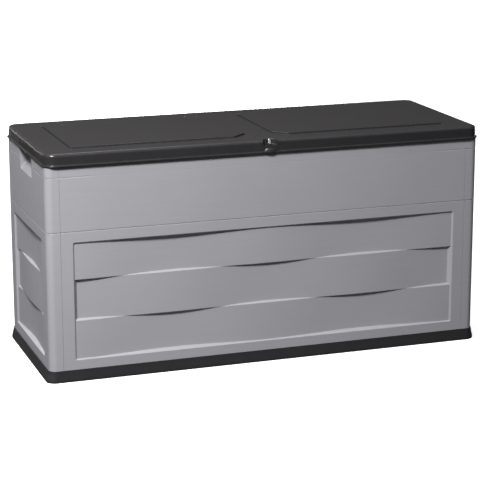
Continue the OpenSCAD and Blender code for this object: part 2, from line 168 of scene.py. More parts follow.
def rrect(hx, hy, r, n=8):
    return round_poly([(-hx, -hy), (hx, -hy), (hx, hy), (-hx, hy)], r, n)


def subdivide_loop(pts, nrm, step):
    """Extra points on long straight stretches of a closed loop."""
    P, N = [], []
    m = len(pts)
    for i in range(m):
        a, b, na, nb = pts[i], pts[(i + 1) % m], nrm[i], nrm[(i + 1) % m]
        k = max(1, int(np.linalg.norm(b - a) // step))
        for j in range(k):
            P.append(a + (b - a) * j / k)
            N.append(na + (nb - na) * j / k)
    return np.array(P), np.array(N)


def sweep(B, loop, profile, flip=False):
    """Closed loop (points, offset directions) carried through a profile of (outward offset, z)."""
    pts, nrm = loop
    rings = np.array([[(*(p + n * o), z) for p, n in zip(pts, nrm)] for o, z in profile])
    B.add(rings.reshape(-1, 3), grid_faces(len(profile), len(pts), True), flip)
    return rings


def inside(p, poly):
    x, y = p
    hit, j = False, len(poly) - 1
    for i in range(len(poly)):
        xi, yi, xj, yj = *poly[i][:2], *poly[j][:2]
        if (yi > y) != (yj > y) and x < (xj - xi) * (y - yi) / (yj - yi) + xi:
            hit = not hit
        j = i
    return hit


def cap(B, outer, holes=(), up=True, extra=None):
    """Flat triangulated face between a ring and the rings of its holes, all at one height."""
    rings = [np.asarray(outer)] + [np.asarray(h) for h in holes]
    z = rings[0][0][2]
    co, edges = [], []
    for r in rings:
        s = len(co)
        co += [Vector((q[0], q[1])) for q in r]
        edges += [(s + i, s + (i + 1) % len(r)) for i in range(len(r))]
    if extra is not None:
        co += [Vector(q) for q in extra]
    vs, _, fs, ov, _, _ = delaunay_2d_cdt(co, edges, [], 1, 1e-6)
    P = [(v[0], v[1], z) for v in vs]
    keep = []
    for f in fs:
        c = sum((Vector(P[k][:2]) for k in f), Vector((0, 0))) / len(f)
        if inside(c, rings[0]) and not any(inside(c, h) for h in rings[1:]):
            a, b, d = (Vector(P[k][:2]) for k in f[:3])
            area = (b - a).cross(d - a)
            if abs(area) < 1e-9:
                continue
            keep.append(list(f) if (area > 0) == up else list(f)[::-1])
    B.add(P, keep)


def arc(r, a0, a1, n, c=(0, 0)):
    return [(c[0] + r * math.cos(math.radians(a0 + (a1 - a0) * k / n)),
             c[1] + r * math.sin(math.radians(a0 + (a1 - a0) * k / n))) for k in range(n + 1)]


def rounded_box(B, lo, hi, r, n=3):
    """Box with rounded edges and corners, as one closed skin."""
    lo, hi = np.array(lo, float), np.array(hi, float)
    r = min(r, 0.499 * (hi - lo).min())
    c, h = (lo + hi) / 2, (hi - lo) / 2
    line = []
    for a in range(n + 1):
        line.append((-1, a / n))
    for a in range(n + 1):
        line.append((1, a / n))
    m = len(line)
    for axis in range(3):
        u, v = (axis + 1) % 3, (axis + 2) % 3
        for s in (-1, 1):
            P = []
            for su, tu in line:
                for sv, tv in line:
                    fu = -1 + tu if su < 0 else tu          # -1..0 or 0..1 within the rounding
                    fv = -1 + tv if sv < 0 else tv
                    d = np.zeros(3)
                    d[axis] = s
                    d[u], d[v] = math.tan(fu * math.pi / 4), math.tan(fv * math.pi / 4)
                    d /= np.linalg.norm(d)
                    p = np.zeros(3)
                    p[axis] = s * (h[axis] - r)
                    p[u] = su * (h[u] - r)
                    p[v] = sv * (h[v] - r)
                    P.append(c + p + d * r)
            B.add(P, grid_faces(m, m, flip=(s > 0)))


def prism(B, loop, z0, z1, r=0.0, n=2, axis="z"):
    """Closed solid from a flat loop, with rounded top and bottom edges. axis says what the loop's normal is."""
    pts, nrm = loop
    prof = []
    if r > 0:
        prof += [(-r + r * math.sin(math.pi / 2 * k / n), z0 + r - r * math.cos(math.pi / 2 * k / n)) for k in range(n + 1)]
        prof += [(-r + r * math.cos(math.pi / 2 * k / n), z1 - r + r * math.sin(math.pi / 2 * k / n)) for k in range(n + 1)]
    else:
        prof = [(0, z0), (0, z1)]
    T = Builder()
    rings = sweep(T, loop, prof)
    cap(T, rings[0], up=False)
    cap(T, rings[-1], up=True)
    P = np.concatenate(T.v)
    if axis == "x":      # loop given as (y, z), extruded along x
        P = P[:, [2, 0, 1]]
    elif axis == "y":    # loop given as (z, x), extruded along y
        P = P[:, [1, 2, 0]]
    B.add(P, T.f)


def prism_with_hole(B, loop, hole, z0, z1, r, n, axis):
    """As prism, with a round-edged hole through it."""
    T = Builder()
    q = lambda k: math.pi / 2 * k / n
    prof = [(-r + r * math.sin(q(k)), z0 + r - r * math.cos(q(k))) for k in range(n + 1)]
    prof += [(-r + r * math.cos(q(k)), z1 - r + r * math.sin(q(k))) for k in range(n + 1)]
    rings = sweep(T, loop, prof)
    rh = r * 0.6
    hp = [(rh - rh * math.sin(q(k)), z0 + rh - rh * math.cos(q(k))) for k in range(n + 1)]
    hp += [(rh - rh * math.cos(q(k)), z1 - rh + rh * math.sin(q(k))) for k in range(n + 1)]
    hr = sweep(T, hole, hp, flip=True)
    cap(T, rings[0], [hr[0]], up=False)
    cap(T, rings[-1], [hr[-1]], up=True)
    P = np.concatenate(T.v)
    if axis == "x":
        P = P[:, [2, 0, 1]]
    elif axis == "y":
        P = P[:, [1, 2, 0]]
    B.add(P, T.f)


def lathe(B, profile, centre, direction, n=24):
    """Solid of revolution: profile of (radius, height along direction)."""
    d = Vector(direction).normalized()
    a = d.orthogonal().normalized()
    b = d.cross(a)
    R = np.array([a, b, d]).T
    rows = []
    for r, h in profile:
        for k in range(n):
            t = 2 * math.pi * k / n
            rows.append(R @ np.array([r * math.cos(t), r * math.sin(t), h]) + np.array(centre))
    B.add(rows, grid_faces(len(profile), n, True))
    for i, flip in ((0, True), (len(profile) - 1, False)):
        if profile[i][0] > 1e-6:
            q = list(range(i * n, (i + 1) * n))
            B.add(rows[i * n:(i + 1) * n], [list(range(n))], flip)


def boolean(ob, cutter, op="DIFFERENCE"):
    """Applies one exact boolean and removes the cutter."""
    for m in list(ob.modifiers):
        ob.modifiers.remove(m)
    m = ob.modifiers.new("cut", "BOOLEAN")
    m.operation, m.solver, m.object = op, "EXACT", cutter
    dg = bpy.context.evaluated_depsgraph_get()
    me = bpy.data.meshes.new_from_object(ob.evaluated_get(dg))
    old = ob.data
    ob.modifiers.clear()
    bm = bmesh.new()                   # a sliver that the cut leaves open is closed again
    bm.from_mesh(me)
    bmesh.ops.holes_fill(bm, edges=[e for e in bm.edges if e.is_boundary], sides=8)
    bm.to_mesh(me)
    bm.free()
    ob.data = me
    bpy.data.meshes.remove(old)
    bpy.data.objects.remove(cutter)
    return ob


def blend_steps(*spans):
    """Sorted unique positions from spans of (start, end, step)."""
    out = []
    for a, b, s in spans:
        k = max(1, int(round((b - a) / s)))
        out += [a + (b - a) * i / k for i in range(k + 1)]
    out = sorted(out)
    res = [out[0]]
    for v in out[1:]:
        if v - res[-1] > 0.12:
            res.append(v)
    res[-1] = out[-1]
    return np.array(res)


def smin(a, b, k):
    h = np.clip(0.5 + 0.5 * (b - a) / k, 0, 1)
    return b * (1 - h) + a * h - k * h * (1 - h)


def smax(a, b, k):
    return -smin(-a, -b, k)


# ------------------------------------------------------------------ materials
def nodes_of(mat):
    mat.use_nodes = True
    nt = mat.node_tree
    nt.nodes.clear()
    out = nt.nodes.new("ShaderNodeOutputMaterial")
    bsdf = nt.nodes.new("ShaderNodeBsdfPrincipled")
    nt.links.new(bsdf.outputs[0], out.inputs[0])
    return nt, bsdf


def plastic(name, color, rough, grain=0.35, grain_scale=1600, rough_var=0.06, tint_var=0.03, edge=0.12,
            ior=1.46, scuff=0.25, orange=0.035):
    """Moulded plastic: fine spark-eroded grain, slight waviness, uneven gloss, paler worn edges and faint scuffs."""
    mat = bpy.data.materials.new(name)
    nt, bsdf = nodes_of(mat)
    N, L = nt.nodes, nt.links
    tc = N.new("ShaderNodeTexCoord")

    def noise(scale, detail=3, rough=0.5, dist=0.0, vec=None):
        n = N.new("ShaderNodeTexNoise")
        n.inputs["Scale"].default_value = scale
        n.inputs["Detail"].default_value = detail
        n.inputs["Roughness"].default_value = rough
        n.inputs["Distortion"].default_value = dist
        L.new(vec or tc.outputs["Object"], n.inputs["Vector"])
        return n

    def ramp(src, a, b, lo=0.0, hi=1.0):
        m = N.new("ShaderNodeMapRange")
        m.inputs["From Min"].default_value = a
        m.inputs["From Max"].default_value = b
        m.inputs["To Min"].default_value = lo
        m.inputs["To Max"].default_value = hi
        L.new(src, m.inputs["Value"])
        return m.outputs["Result"]

    def math_node(op, a, b):
        m = N.new("ShaderNodeMath")
        m.operation = op
        for k, s in enumerate((a, b)):
            if hasattr(s, "links"):
                L.new(s, m.inputs[k])
            else:
                m.inputs[k].default_value = s
        return m.outputs[0]

    big = noise(3.1, 4, 0.55)
    mid = noise(38, 5, 0.6)
    fine = noise(grain_scale, 2, 0.6)
    fine2 = N.new("ShaderNodeTexVoronoi")
    fine2.inputs["Scale"].default_value = grain_scale * 0.62
    L.new(tc.outputs["Object"], fine2.inputs["Vector"])
    streak_map = N.new("ShaderNodeMapping")
    streak_map.inputs["Scale"].default_value = (2.0, 2.0, 55.0)
    L.new(tc.outputs["Object"], streak_map.inputs["Vector"])
    streak = noise(4.0, 4, 0.6, 0.4, streak_map.outputs["Vector"])

    # colour: flow variation, a little dust in the grain, paler edges
    geo = N.new("ShaderNodeNewGeometry")
    edges = ramp(geo.outputs["Pointiness"], 0.515, 0.57)
    col = N.new("ShaderNodeMix")
    col.data_type = "RGBA"
    c0 = [max(0, c * (1 - tint_var)) for c in color]
    c1 = [min(1, c * (1 + tint_var)) for c in color]
    col.inputs["A"].default_value = (*c0, 1)
    col.inputs["B"].default_value = (*c1, 1)
    mixf = math_node("ADD", math_node("MULTIPLY", big.outputs["Fac"], 0.6), math_node("MULTIPLY", streak.outputs["Fac"], 0.4))
    L.new(ramp(mixf, 0.35, 0.65), col.inputs["Factor"])
    worn = N.new("ShaderNodeMix")
    worn.data_type = "RGBA"
    worn.inputs["B"].default_value = (*[min(1, c * 1.22 + 0.012) for c in color], 1)
    L.new(col.outputs["Result"], worn.inputs["A"])
    wear = math_node("MULTIPLY", edges, math_node("MULTIPLY", ramp(mid.outputs["Fac"], 0.4, 0.65), edge))
    L.new(wear, worn.inputs["Factor"])
    speck = N.new("ShaderNodeMix")
    speck.data_type = "RGBA"
    speck.blend_type = "MULTIPLY"
    L.new(worn.outputs["Result"], speck.inputs["A"])
    speck.inputs["B"].default_value = (0.93, 0.93, 0.93, 1)
    L.new(ramp(fine2.outputs["Distance"], 0.55, 0.15, 0.0, 0.5), speck.inputs["Factor"])
    L.new(speck.outputs["Result"], bsdf.inputs["Base Color"])

    # gloss: uneven, a little shinier where hands rub, faint scuffs
    scuff_map = N.new("ShaderNodeMapping")
    scuff_map.inputs["Rotation"].default_value = (0.4, 0.3, 0.5)
    scuff_map.inputs["Scale"].default_value = (1.0, 14.0, 14.0)
    L.new(tc.outputs["Object"], scuff_map.inputs["Vector"])
    scratches = noise(22, 2, 0.5, 0.0, scuff_map.outputs["Vector"])
    r0 = math_node("ADD", ramp(mid.outputs["Fac"], 0.3, 0.7, rough - rough_var, rough + rough_var),
                   ramp(scratches.outputs["Fac"], 0.66, 0.78, 0.0, scuff * 0.12))
    r1 = math_node("SUBTRACT", r0, math_node("MULTIPLY", edges, 0.05))
    L.new(r1, bsdf.inputs["Roughness"])
    bsdf.inputs["IOR"].default_value = ior

    # bump: grain over the slight waviness of a large moulding
    b1 = N.new("ShaderNodeBump")
    b1.inputs["Strength"].default_value = orange
    b1.inputs["Distance"].default_value = 0.0009
    L.new(noise(17, 2, 0.5).outputs["Fac"], b1.inputs["Height"])
    b2 = N.new("ShaderNodeBump")
    b2.inputs["Strength"].default_value = grain
    b2.inputs["Distance"].default_value = 0.00012
    L.new(math_node("ADD", fine.outputs["Fac"], math_node("MULTIPLY", fine2.outputs["Distance"], 0.7)), b2.inputs["Height"])
    L.new(b1.outputs["Normal"], b2.inputs["Normal"])
    L.new(b2.outputs["Normal"], bsdf.inputs["Normal"])
    return mat


def metal(name, color, rough, streaks=0.5, spangle=0.0):
    mat = bpy.data.materials.new(name)
    nt, bsdf = nodes_of(mat)
    N, L = nt.nodes, nt.links
    bsdf.inputs["Metallic"].default_value = 1.0
    tc = N.new("ShaderNodeTexCoord")
    mp = N.new("ShaderNodeMapping")
    mp.inputs["Scale"].default_value = (60, 60, 900)
    L.new(tc.outputs["Object"], mp.inputs["Vector"])
    n1 = N.new("ShaderNodeTexNoise")
    n1.inputs["Scale"].default_value = 3.0
    n1.inputs["Detail"].default_value = 5
    L.new(mp.outputs["Vector"], n1.inputs["Vector"])
    n2 = N.new("ShaderNodeTexNoise")
    n2.inputs["Scale"].default_value = 160
    n2.inputs["Detail"].default_value = 4
    L.new(tc.outputs["Object"], n2.inputs["Vector"])
    mix = N.new("ShaderNodeMix")
    mix.data_type = "RGBA"
    mix.inputs["A"].default_value = (*[c * 0.82 for c in color], 1)
    mix.inputs["B"].default_value = (*color, 1)
    L.new(n2.outputs["Fac"], mix.inputs["Factor"])
    L.new(mix.outputs["Result"], bsdf.inputs["Base Color"])
    mr = N.new("ShaderNodeMapRange")
    mr.inputs["From Min"].default_value = 0.3
    mr.inputs["From Max"].default_value = 0.7
    mr.inputs["To Min"].default_value = rough * 0.75
    mr.inputs["To Max"].default_value = rough * 1.3
    L.new(n1.outputs["Fac"], mr.inputs["Value"])
    L.new(mr.outputs["Result"], bsdf.inputs["Roughness"])
    bp = N.new("ShaderNodeBump")
    bp.inputs["Strength"].default_value = streaks * 0.3
    bp.inputs["Distance"].default_value = 0.00005
    L.new(n1.outputs["Fac"], bp.inputs["Height"])
    L.new(bp.outputs["Normal"], bsdf.inputs["Normal"])
    return mat


GREY = plastic("wall_grey", (0.345, 0.34, 0.365), 0.48, grain=0.25, ior=1.45)
# the hand grips use the walls' grey plastic with a darker tone to match their pocket's shading: painted shade
GRIP_GREY_PAINTED_SHADE = plastic("grip_grey_painted_shade", (0.285, 0.281, 0.301), 0.46, grain=0.18, ior=1.45)
LID = plastic("lid_dark", (0.0255, 0.0243, 0.0262), 0.31, grain=0.35, tint_var=0.06, edge=0.5, ior=1.5)
LID_IN = plastic("lid_inner_dark", (0.034, 0.034, 0.036), 0.5, grain=0.3, tint_var=0.06, edge=0.3)
BASE = plastic("plinth_dark", (0.0255, 0.025, 0.0275), 0.45, grain=0.35, tint_var=0.08, edge=0.4)
GLOSS = plastic("insert_gloss", (0.024, 0.0235, 0.025), 0.37, grain=0.04, rough_var=0.04, edge=0.3, ior=1.5, orange=0.05)
HINGE = plastic("hinge_dark", (0.024, 0.024, 0.026), 0.4, grain=0.25, edge=0.4)
ZINC = metal("zinc_plate", (0.66, 0.66, 0.64), 0.34)
STEEL = metal("bright_steel", (0.86, 0.87, 0.89), 0.24, 0.3)


def dress(ob, mat, body, slot, *nodes):
    ob.data.materials.clear()
    ob.data.materials.append(mat)
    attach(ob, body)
    if nodes:
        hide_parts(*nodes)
    return ob


# ------------------------------------------------------------------ woven walls
def weave_depth(u, z, half, wave, mid, over=1.0, under=1.9):
    """Depth below the wall's face of the recess with its three woven bands."""
    c = -mid * 3.5 * np.cos(2 * math.pi * u / wave)
    d = (7.0 - c, 7.0 + c, 7.0 - c)            # bottom, middle, top
    z0, z1, z2, z3 = WEAVE_Z
    # slopes under an edge lean less than the ledges over one
    low = np.minimum(d[0], d[1] + over * np.maximum(z1 - z, 0))
    middle = np.minimum(np.minimum(d[1], d[0] + under * np.maximum(z - z1, 0)), d[2] + over * np.maximum(z2 - z, 0))
    top = np.minimum(d[2], d[1] + under * np.maximum(z - z2, 0))
    band = np.where(z < z1, low, np.where(z < z2, middle, top))
    edge = smin(1.2 * (half - np.abs(u)), smin(1.9 * (z - z0), 1.0 * (z3 - z), 4.0), 6.0)
    depth = smin(edge, band, 1.0)
    return smax(depth, np.zeros_like(depth), 1.0)


def groove_depth(z, gain):
    out = np.zeros_like(z)
    for (zc, g), k in zip(GROOVES, gain):
        out = np.maximum(out, g * k * np.clip(1.6 - (np.abs(z - zc) / 0.95) ** 2, 0, 1))
    return out


def z_lines():
    z0, z1, z2, z3 = WEAVE_Z
    s = [(FOOT, z0 - 3, 9), (z0 - 3, z0 + 10, 0.6), (z0 + 10, z1 - 10, 12), (z1 - 10, z1 + 7, 0.6),
         (z1 + 7, z2 - 10, 12), (z2 - 10, z2 + 7, 0.6), (z2 + 7, z3 - 15, 12), (z3 - 15, z3 + 4, 0.7)]
    last = z3 + 4
    for zc, g in GROOVES:
        s += [(last, zc - 1.5, 12), (zc - 1.5, zc + 1.5, 0.25)]
        last = zc + 1.5
    s += [(last, WALL_TOP - 1.2, 12)]
    return blend_steps(*s)


def wall_sheet(B, P, N, U, half, wave, mid, seam_edges, gain, upstand=True):
    """Closed moulding along a path. P, N: points and outward normals; U: coordinate used by the woven pattern
    (nan where there is none); seam_edges: distance of each point from the nearest end, for the rounded edge there."""
    zl = z_lines()
    nz = len(zl)
    m = len(P)
    r = 0.4
    e = np.clip(seam_edges, 0, r)
    lip = r - np.sqrt(np.maximum(r * r - (r - e) ** 2, 0))
    Z = np.repeat(zl[:, None], m, 1)
    Ug = np.repeat(U[None, :], nz, 0)
    D = np.where(np.isnan(Ug), 0.0, weave_depth(np.nan_to_num(Ug, nan=1e4), Z, half, wave, mid))
    G = groove_depth(Z, [np.repeat(g[None, :], nz, 0) for g in gain])
    outer = [(D[i] + G[i] + lip, np.full(m, zl[i])) for i in range(nz)]
    T, I = WALL_TOP, WALL_TOP - 3.0
    inner = [(D[i] + WALL_T, np.full(m, min(zl[i], I - 0.4))) for i in range(nz)]
    chain_o, chain_i = [], []
    for k in range(1, 5):                                   # rounded top edge
        a = math.pi / 2 * k / 4
        chain_o.append((1.2 * (1 - math.cos(a)), T - 1.2 + 1.2 * math.sin(a)))
        chain_i.append((WALL_T, I - 0.4 + 0.1 * k))
    chain_o += [(RIM_IN - 1.0, T), (RIM_IN - 0.3, T + 0.3), (RIM_IN, T + 1.0)]
    chain_i += [(RIM_IN + 1.0, I), (RIM_IN + 2.6, I + 0.4), (RIM_IN + 3, I + 1.2)]
    for z in (T + 9, RIM - 0.9):
        chain_o.append((RIM_IN, z))
        chain_i.append((RIM_IN + 3, z))
    chain_o += [(RIM_IN + 0.3, RIM - 0.3), (RIM_IN + 1.0, RIM), (RIM_IN + 1.5, RIM)]
    chain_i += [(RIM_IN + 2.7, RIM - 0.3), (RIM_IN + 2.0, RIM), (RIM_IN + 1.5, RIM)]
    if not upstand:
        chain_o, chain_i = chain_o[:4], chain_i[:4]
    outer += [(np.full(m, o) + lip * (k < 4), np.full(m, z)) for k, (o, z) in enumerate(chain_o)]
    inner += [(np.full(m, o), np.full(m, z)) for o, z in chain_i]
    rows = len(outer)

    def pts(rows_):
        return np.array([[(*(P[j] - N[j] * d[j]), z[j]) for j in range(m)] for d, z in rows_])

    O, I_ = pts(outer), pts(inner)
    B.add(O.reshape(-1, 3), grid_faces(rows, m))
    B.add(I_.reshape(-1, 3), grid_faces(rows, m), flip=True)
    # bottom edge, top edge, both ends
    B.add(np.concatenate([I_[0], O[0]]), grid_faces(2, m))
    B.add(np.concatenate([O[-1], I_[-1]]), grid_faces(2, m))
    for j, flip in ((0, False), (m - 1, True)):
        B.add(np.concatenate([np.stack([I_[i][j], O[i][j]]) for i in range(rows)]), grid_faces(rows, 2), flip)


def front_path():
    a = 512.0
    u = blend_steps((-SEAM, -SEAM + 0.4, 0.13), (-SEAM + 0.4, -a - 4, 9), (-a - 4, -a + 14, 0.9), (-a + 14, a - 14, 9.2),
                    (a - 14, a + 4, 0.9), (a + 4, SEAM - 0.4, 9), (SEAM - 0.4, SEAM, 0.13))
    P = np.array([(x, -HY) for x in u])
    N = np.tile((0.0, -1.0), (len(u), 1))
    return P, N, u, SEAM - np.abs(u)


def side_path():
    """From the back seam round to the front seam of the left side panel, so that the outer face looks outward."""
    x1, b = -(SEAM + 0.6) + 0.2, 157.5
    r = CORNER
    P, N, U = [], [], []
    for x in blend_steps((0, 0.4, 0.13), (0.4, HX - r + x1, 5)):
        P.append((x1 - x, HY)); N.append((0, 1)); U.append(np.nan)
    for k in range(1, 12):
        t = math.radians(90 + 90 * k / 12)
        P.append((-HX + r + r * math.cos(t), HY - r + r * math.sin(t))); N.append((math.cos(t), math.sin(t))); U.append(np.nan)
    ys = blend_steps((-HY + r, -b - 4, 9), (-b - 4, -b + 14, 0.9), (-b + 14, b - 14, 7), (b - 14, b + 4, 0.9), (b + 4, HY - r, 9))
    for y in ys[::-1]:
        P.append((-HX, y)); N.append((-1, 0)); U.append(y)
    for k in range(1, 12):
        t = math.radians(180 + 90 * k / 12)
        P.append((-HX + r + r * math.cos(t), -HY + r + r * math.sin(t))); N.append((math.cos(t), math.sin(t))); U.append(np.nan)
    for x in blend_steps((0, 0.4, 0.13), (0.4, HX - r + x1, 5))[::-1]:
        P.append((x1 - x, -HY)); N.append((0, -1)); U.append(np.nan)
    P, N, U = np.array(P, float), np.array(N, float), np.array(U, float)
    s = np.concatenate([[0], np.cumsum(np.linalg.norm(np.diff(P, axis=0), axis=1))])
    return P, N, U, np.minimum(s, s[-1] - s)


def add_ribs(B, turn=False):
    s = -1 if turn else 1
    for x in (-300, -110, 110, 300):
        lo, hi = (x - 1.25, -HY + WALL_T - 0.4, WEAVE_Z[3] + 8), (x + 1.25, -HY + WALL_T + 8, WALL_TOP - 2.5)
        if turn:
            lo, hi = (lo[0], HY - WALL_T - 8, lo[2]), (hi[0], HY - WALL_T + 0.4, hi[2])
        rounded_box(B, lo, hi, 0.8, 2)
    for q in (-1, 1):
        x0, x1 = sorted((q * SEAM, q * (SEAM - 2.5)))
        y0, y1 = sorted((s * (-HY + WALL_T - 0.4), s * (-HY + WALL_T + 12)))
        rounded_box(B, (x0, y0, TRAY_H + 2), (x1, y1, WALL_TOP - 3), 0.6, 2)


def rim_slot(ob):
    c = Builder()
    rounded_box(c, (-24, -HY + 0.8, WALL_TOP), (24, -HY + 21, WALL_TOP + 40), 0.4, 1)
    boolean(ob, c.obj("cut_a"))
    c = Builder()
    rounded_box(c, (-3.4, -HY + 3, WALL_TOP - 10), (3.4, -HY + 23, WALL_TOP + 10), 0.3, 1)
    boolean(ob, c.obj("cut_b"))


P, N, U, E = front_path()
B = Builder()
FRONT_GAIN = (np.full(len(U), 0.75), 0.12 + 0.5 * np.clip((np.abs(U) - 440) / 50, 0, 1))
wall_sheet(B, P, N, U, 512.0, 512.0, -1, E, FRONT_GAIN)
front = B.obj("front_wall")
rim_slot(front)
extra = Builder()
add_ribs(extra)
for x in (-13, 13):
    lathe(extra, [(0, -0.5), (5.0, -0.5), (5.0, 8.4), (4.4, 9.0), (0, 9.0)], (x, -HY + WALL_T, WALL_TOP - 31), (0, 1, 0), 20)
ribs = extra.obj("front_ribs")
finish_shading(front)
dress(front, GREY, "box", "wall_panel", "front_panel")
dress(ribs, GREY, "box", "wall_panel")

B = Builder()
wall_sheet(B, -P, -N, U, 512.0, 512.0, -1, E, FRONT_GAIN)
for x in [c * 380 for c in (-1, 0, 1)]:
    rounded_box(B, (x - 34, HY - WALL_T - 8, b_brk[2] - 2), (x + 34, HY - WALL_T + 0.4, AX_Z - 7), 1.5, 3)
add_ribs(B, True)
back = B.obj("back_wall")
dress(back, GREY, "box", "wall_panel", "back_panel")

SP, SN, SU, SE = side_path()
grip_lo, grip_hi = b_grip[1] - 0.4, b_grip[4] + 0.4
GX, GZ = b_grip[3], b_grip[2]


def grip_shape(out, g):
    """Outline of the hand grip in x and z for the left side, grown by g."""
    k = g * (math.sqrt(2) - 1)
    zb = 492.0
    return [(-HX - out, zb - out - g * 1.414), (-HX + 24 + g, zb + 24 + g - g * 1.414), (-HX + 24 + g, WALL_TOP - 2.5 + g), (-HX - out, WALL_TOP - 2.5 + g)]


def make_side(sign):
    B = Builder()
    Pm, Nm = SP.copy(), SN.copy()
    turn = np.abs(SN[:, 0])
    wall_sheet(B, Pm, Nm, SU, 157.5, 424.0, 1, SE, (0.75 + 0.25 * turn, 0.62 + 1.2 * turn))
    ob = B.obj("side")
    c = Builder()
    loop = round_poly([(z, x) for x, z in grip_shape(3, 3.0)], 0.0)
    loop = round_poly([(z, x) for x, z in grip_shape(3, 3.0)][::-1], 0.0) if polygon_area([(z, x) for x, z in grip_shape(3, 3.0)]) < 0 else loop
    prism(c, loop, grip_lo, grip_hi, 0, 1, "y")
    boolean(ob, c.obj("cut", weighted=False))
    finish_shading(ob)
    if sign > 0:
        mirror_x(ob)
    return ob


def polygon_area(p):
    return 0.5 * sum(p[i][0] * p[(i + 1) % len(p)][1] - p[(i + 1) % len(p)][0] * p[i][1] for i in range(len(p)))


def mirror_x(ob):
    bm = bmesh.new()
    bm.from_mesh(ob.data)
    for v in bm.verts:
        v.co.x = -v.co.x
    bmesh.ops.reverse_faces(bm, faces=bm.faces)
    bm.to_mesh(ob.data)
    bm.free()
    ob.data.update()


def grip_object():
    """Solid block of the grip's outer shape with the scoop cut out of it."""
    t = 2.5
    out = Builder()
    poly = [(z, max(x, -HX)) for x, z in grip_shape(0, t)]
    if polygon_area(poly) < 0:
        poly = poly[::-1]
    prism(out, round_poly(poly, 0.0), b_grip[1], b_grip[4], 0, 1, "y")
    ob = out.obj("grip", weighted=False)
    cut = Builder()
    y0, y1 = b_grip[1] + t, b_grip[4] - t
    poly = [(z, x) for x, z in grip_shape(4, 0)]
    if polygon_area(poly) < 0:
        poly = poly[::-1]
    rad = []
    for z, x in poly:
        rad.append(0.0 if x < -HX else (9.0 if z < 530 else 5.5))
    loop = round_poly(poly, rad, 7)
    # rounded cheeks: the section shrinks towards both ends
    cr, prof = 4.8, []
    for k in range(8):
        a = math.radians(90 * k / 7)
        prof.append((-cr + cr * math.sin(a), y0 + cr - cr * math.cos(a)))
    for k in range(8):
        a = math.radians(90 * k / 7)
        prof.append((-cr + cr * math.cos(a), y1 - cr + cr * math.sin(a)))
    pts, nrm = loop
    # keep the mouth full width: offsets act only where the loop is inside the wall's face
    T = Builder()
    rings = []
    for o, z in prof:
        ring = []
        for p, n in zip(pts, nrm):
            f = np.clip((p[1] + HX) / 5.0, 0, 1)
            ring.append((*(p + n * o * f), z))
        rings.append(ring)
    rings = np.array(rings)
    T.add(rings.reshape(-1, 3), grid_faces(len(prof), len(pts), True))
    cap(T, rings[0], up=False)
    cap(T, rings[-1], up=True)
    Pp = np.concatenate(T.v)[:, [1, 2, 0]]
    cut.add(Pp, T.f)
    boolean(ob, cut.obj("cut", weighted=False))
    finish_shading(ob, 38)
    return ob


for sign, side in ((-1, "left"), (1, "right")):
    ob = make_side(sign)
    ob.name = side + "_side_wall"
    dress(ob, GREY, "box", "wall_panel", side + "_side_panel")
    g = grip_object()
    if sign > 0:
        mirror_x(g)
    g.name = side + "_grip"
    # the grip's darker grey is painted shade, not a different plastic
    dress(g, GRIP_GREY_PAINTED_SHADE, "box", "hand_grip", side + "_hand_grip")

# ------------------------------------------------------------------ plinth tray
def make_tray():
    B = Builder()
    ch = 12.0                                     # bottom of the channel for the walls
    loop = rrect(HX, HY, CORNER, 10)
    ox, oy = TRAY_X - HX, TRAY_Y - HY
    # the flare is wider at the ends than at the front and back, so scale the offset by direction
    pts, nrm = loop
    kx, ky = ox, oy

    def ring(o, z, wide=True):
        out = []
        for p, n in zip(pts, nrm):
            w = np.array([n[0] * kx / 4.0, n[1] * ky / 4.0]) if wide else n
            out.append((*(p + w * o), z))
        return out

    # outer skirt from the ground up: offsets in units where 4 is the full flare
    prof = [(2.6, 0.0), (3.55, 0.5), (3.93, 1.6), (4.0, 3.2), (4.0, 7.0), (3.78, 9.0), (3.3, 12.0), (2.75, 16.0), (2.25, 20.0), (1.86, 24.0), (1.6, 27.5),
            (1.5, 29.3), (1.34, 30.4), (1.05, 30.9), (0.8, 31.0)]
    rings = [ring(o, z) for o, z in prof]
    rings.append(ring(0.3, TRAY_H, False))
    rings.append(ring(0.3, ch, False))
    inner_o = -WALL_T - 0.5
    for o, z in ((inner_o, ch), (inner_o, TRAY_H - 0.8), (inner_o - 0.3, TRAY_H - 0.2), (inner_o - 1.0, TRAY_H), (inner_o - 6.5, TRAY_H)):
        rings.append(ring(o, z, False))
    for o, z in ((inner_o - 7.2, TRAY_H - 0.3), (inner_o - 7.8, TRAY_H - 1.2), (inner_o - 8.4, TRAY_H - 2.0)):
        rings.append(ring(o, z, False))
    rings = np.array(rings)
    B.add(rings.reshape(-1, 3), grid_faces(len(rings), len(pts), True))
    # floor with raised drip ribs
    floor_z = TRAY_H - 2.0
    holes = []
    iw, idp = 2 * (HX - WALL_T - 0.5), 2 * (HY - WALL_T - 0.5)
    cw = (iw - 14) / 12
    for i in range(-5, 6):
        lp = round_poly([(i * cw - 6, -idp / 2 + 20), (i * cw + 6, -idp / 2 + 20), (i * cw + 6, idp / 2 - 20), (i * cw - 6, idp / 2 - 20)], 5.9, 6)
        T = sweep(B, lp, [(0.8, floor_z), (0.35, floor_z + 0.35), (0, floor_z + 1.2), (-0.3, floor_z + 1.75), (-1.0, floor_z + 2.0)])
        cap(B, T[-1], up=True)
        holes.append(T[0])
    cap(B, rings[-1], holes, up=True)
    # underside: rim, webs and cells
    cells = []
    cd = (idp - 14) / 4
    for i in range(12):
        for j in range(4):
            x0, y0 = -iw / 2 + 7 + i * cw + 1.5, -idp / 2 + 7 + j * cd + 1.5
            lp = round_poly([(x0, y0), (x0 + cw - 3, y0), (x0 + cw - 3, y0 + cd - 3), (x0, y0 + cd - 3)], 4.0, 4)
            T = sweep(B, lp, [(0.4, 0.0), (0, 0.4), (-0.6, TRAY_H - 6.5), (-1.2, TRAY_H - 5.4), (-2.2, TRAY_H - 5.0)], flip=True)
            cap(B, T[-1], up=False)
            cells.append(T[0])
    cap(B, rings[0], cells, up=False)
    return B.obj("plinth_tray")


